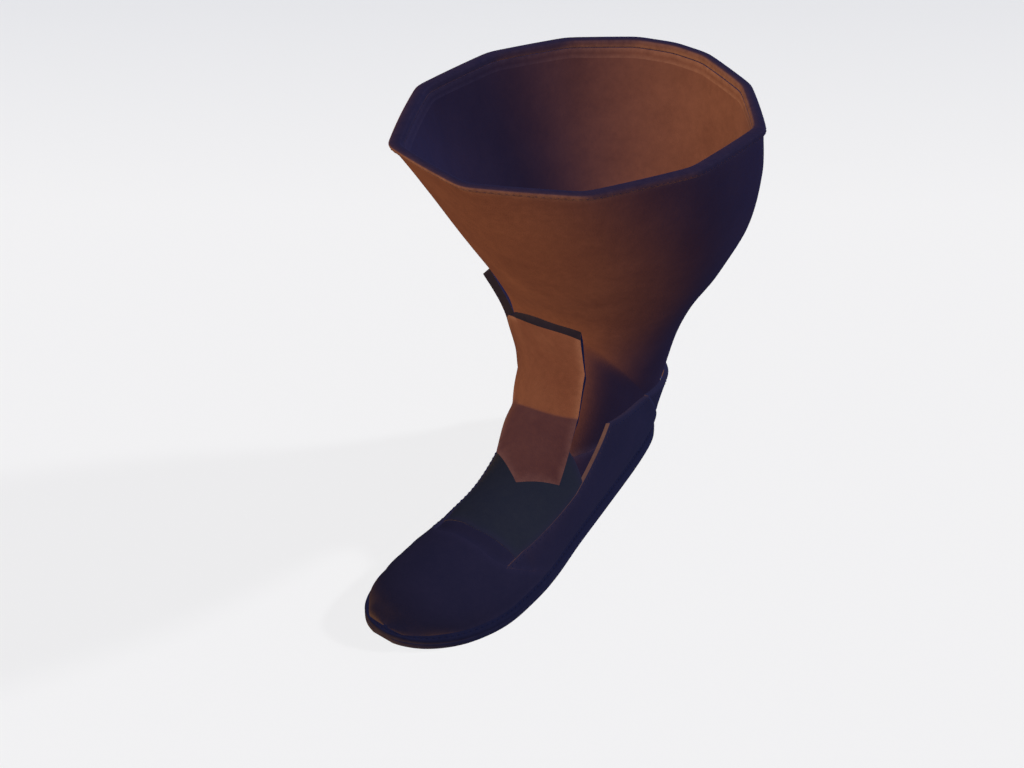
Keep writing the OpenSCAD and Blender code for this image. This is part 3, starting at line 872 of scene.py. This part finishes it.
cork = leather("cork", (0.32, 0.2, 0.11), (0.2, 0.12, 0.06), (0.4, 0.26, 0.15), grain=500.0)
board = leather("insole_board", (0.36, 0.22, 0.12), (0.28, 0.17, 0.09), (0.42, 0.28, 0.16), depth=0.04)
stiffener = leather("stiffener", (0.5, 0.4, 0.27), (0.4, 0.31, 0.2), (0.6, 0.5, 0.35), depth=0.03)
steel = leather("shank_steel", (0.36, 0.37, 0.39), (0.28, 0.29, 0.31), (0.5, 0.5, 0.5), depth=0.01,
                rough=(0.25, 0.4))
for cad_name, material in {
    "cork_forepart": cork, "cork_rear": cork, "insole_forepart": board, "insole_rear": board,
    "toe_puff": stiffener, "heel_counter": stiffener, "shank": steel,
}.items():
    mesh = frame["nodes"][cad_name].data
    mesh.materials.clear()
    mesh.materials.append(material)

# ---------------------------------------------------------------- floor, light and camera

floor_mesh = bpy.data.meshes.new("floor")
floor_mesh.from_pydata([(-9, -9, 0), (9, -9, 0), (9, 9, 0), (-9, 9, 0)], [], [(0, 1, 2, 3)])
floor = bpy.data.objects.new("floor", floor_mesh)
bpy.context.scene.collection.objects.link(floor)
floor_material = bpy.data.materials.new("pale_floor")
floor_material.use_nodes = True
floor_shader = floor_material.node_tree.nodes["Principled BSDF"]
floor_tree = floor_material.node_tree
# The floor's colour is painted darker towards its far end, along (-0.6, 0.8). This is painted shade for
# light falling off with distance.
away = floor_tree.nodes.new("ShaderNodeVectorMath")
away.operation = "DOT_PRODUCT"
away.inputs[1].default_value = (-0.6, 0.8, 0)
floor_tree.links.new(floor_tree.nodes.new("ShaderNodeTexCoord").outputs["Object"], away.inputs[0])
far_off = node(floor_tree, "ShaderNodeMapRange", From_Min=0.35, From_Max=0.85)
floor_tree.links.new(away.outputs["Value"], far_off.inputs["Value"])
FLOOR_NEAR, FLOOR_FAR_SHADE = (0.86, 0.86, 0.86), (0.76, 0.768, 0.785)
floor_painted_falloff = ramp(floor_tree, far_off.outputs["Result"], [(0.0, FLOOR_NEAR), (1.0, FLOOR_FAR_SHADE)])
floor_tree.links.new(floor_painted_falloff, floor_shader.inputs["Base Color"])
floor_shader.inputs["Roughness"].default_value = 0.9
floor_shader.inputs["Specular IOR Level"].default_value = 0.0
floor_mesh.materials.append(floor_material)
floor.visible_diffuse = False
floor.visible_glossy = False

leg_group = bpy.data.collections.new("leg_group")
shoe_group = bpy.data.collections.new("shoe_group")
SHOE_PIECES = (toe_cap, flex_strip, panel, outsole, welt, welt_seam)
floor_group = bpy.data.collections.new("floor_group")
floor_group.objects.link(floor)
for piece in bpy.context.scene.objects:
    if piece.type == "MESH" and piece is not floor:
        low_lit = piece in SHOE_PIECES or piece.name.startswith("quarter_medial")
        (shoe_group if low_lit else leg_group).objects.link(piece)
        piece.visible_diffuse = False
        piece.visible_glossy = False


def sun(name, azimuth, elevation, power, colour, softness, receivers, shadow=False):
    """A sun from that side of the object; azimuth 0 is in front of the toe and 90 on its right."""
    data = bpy.data.lights.new(name, "SUN")
    data.energy, data.color, data.angle = power, colour, math.radians(softness)
    data.use_shadow = shadow
    lamp = bpy.data.objects.new(name, data)
    lamp.visible_glossy = False
    a, e = math.radians(azimuth), math.radians(elevation)
    toward = Vector((math.sin(a) * math.cos(e), -math.cos(a) * math.cos(e), math.sin(e)))
    lamp.rotation_euler = toward.to_track_quat("Z", "Y").to_euler()
    bpy.context.scene.collection.objects.link(lamp)
    lamp.light_linking.receiver_collection = receivers


sun("leg_key", -21, -6, 3.8, (1.0, 0.93, 0.80), 44, leg_group)
sun("shoe_key", -40, -42, 2.0, (1.0, 0.93, 0.80), 20, shoe_group)
sun("floor_light", 0, 75, 2.88, (1, 0.925, 0.385), 20, floor_group)
sun("floor_shadow", 143, 32, 0.30, (1, 1, 1), 4, floor_group, shadow=True)

SKY_DIM, SKY_BLUE = (0.03, 0.03, 0.04), (0.105, 0.18, 0.76)
world = bpy.data.worlds.new("studio")
bpy.context.scene.world = world
world.use_nodes = True
sky = world.node_tree
sky.nodes.clear()
# The soft light comes from behind and above the shoe's outer side, and little from anywhere else.
facing_side = sky.nodes.new("ShaderNodeVectorMath")
facing_side.operation = "DOT_PRODUCT"
facing_side.inputs[1].default_value = (0.58, 0.30, 0.76)
sky.links.new(sky.nodes.new("ShaderNodeTexCoord").outputs["Generated"], facing_side.inputs[0])
spread_out = node(sky, "ShaderNodeMapRange", From_Min=-0.5, From_Max=0.5)
sky.links.new(facing_side.outputs["Value"], spread_out.inputs["Value"])
soft = node(sky, "ShaderNodeBackground", Strength=1.0)
sky_tone = ramp(sky, spread_out.outputs["Result"], [(0.0, SKY_DIM), (1.0, SKY_BLUE)])
sky.links.new(sky_tone, soft.inputs["Color"])
seen = node(sky, "ShaderNodeBackground", Strength=1.0)
seen.inputs["Color"].default_value = (0.79, 0.80, 0.82, 1)
which = sky.nodes.new("ShaderNodeMixShader")
sky.links.new(sky.nodes.new("ShaderNodeLightPath").outputs["Is Camera Ray"], which.inputs["Fac"])
sky.links.new(soft.outputs[0], which.inputs[1])
sky.links.new(seen.outputs[0], which.inputs[2])
sky.links.new(which.outputs[0], sky.nodes.new("ShaderNodeOutputWorld").inputs["Surface"])

camera_data = bpy.data.cameras.new("camera")
camera_data.lens, camera_data.sensor_width = 50.0, 36.0
camera_data.clip_start = 0.01
camera = bpy.data.objects.new("camera", camera_data)
camera.location = (0.401, -0.613, 0.596)
camera.rotation_euler = (math.radians(54), 0, math.radians(37))
bpy.context.scene.collection.objects.link(camera)
bpy.context.scene.camera = camera
bpy.context.scene.view_settings.view_transform = "Standard"
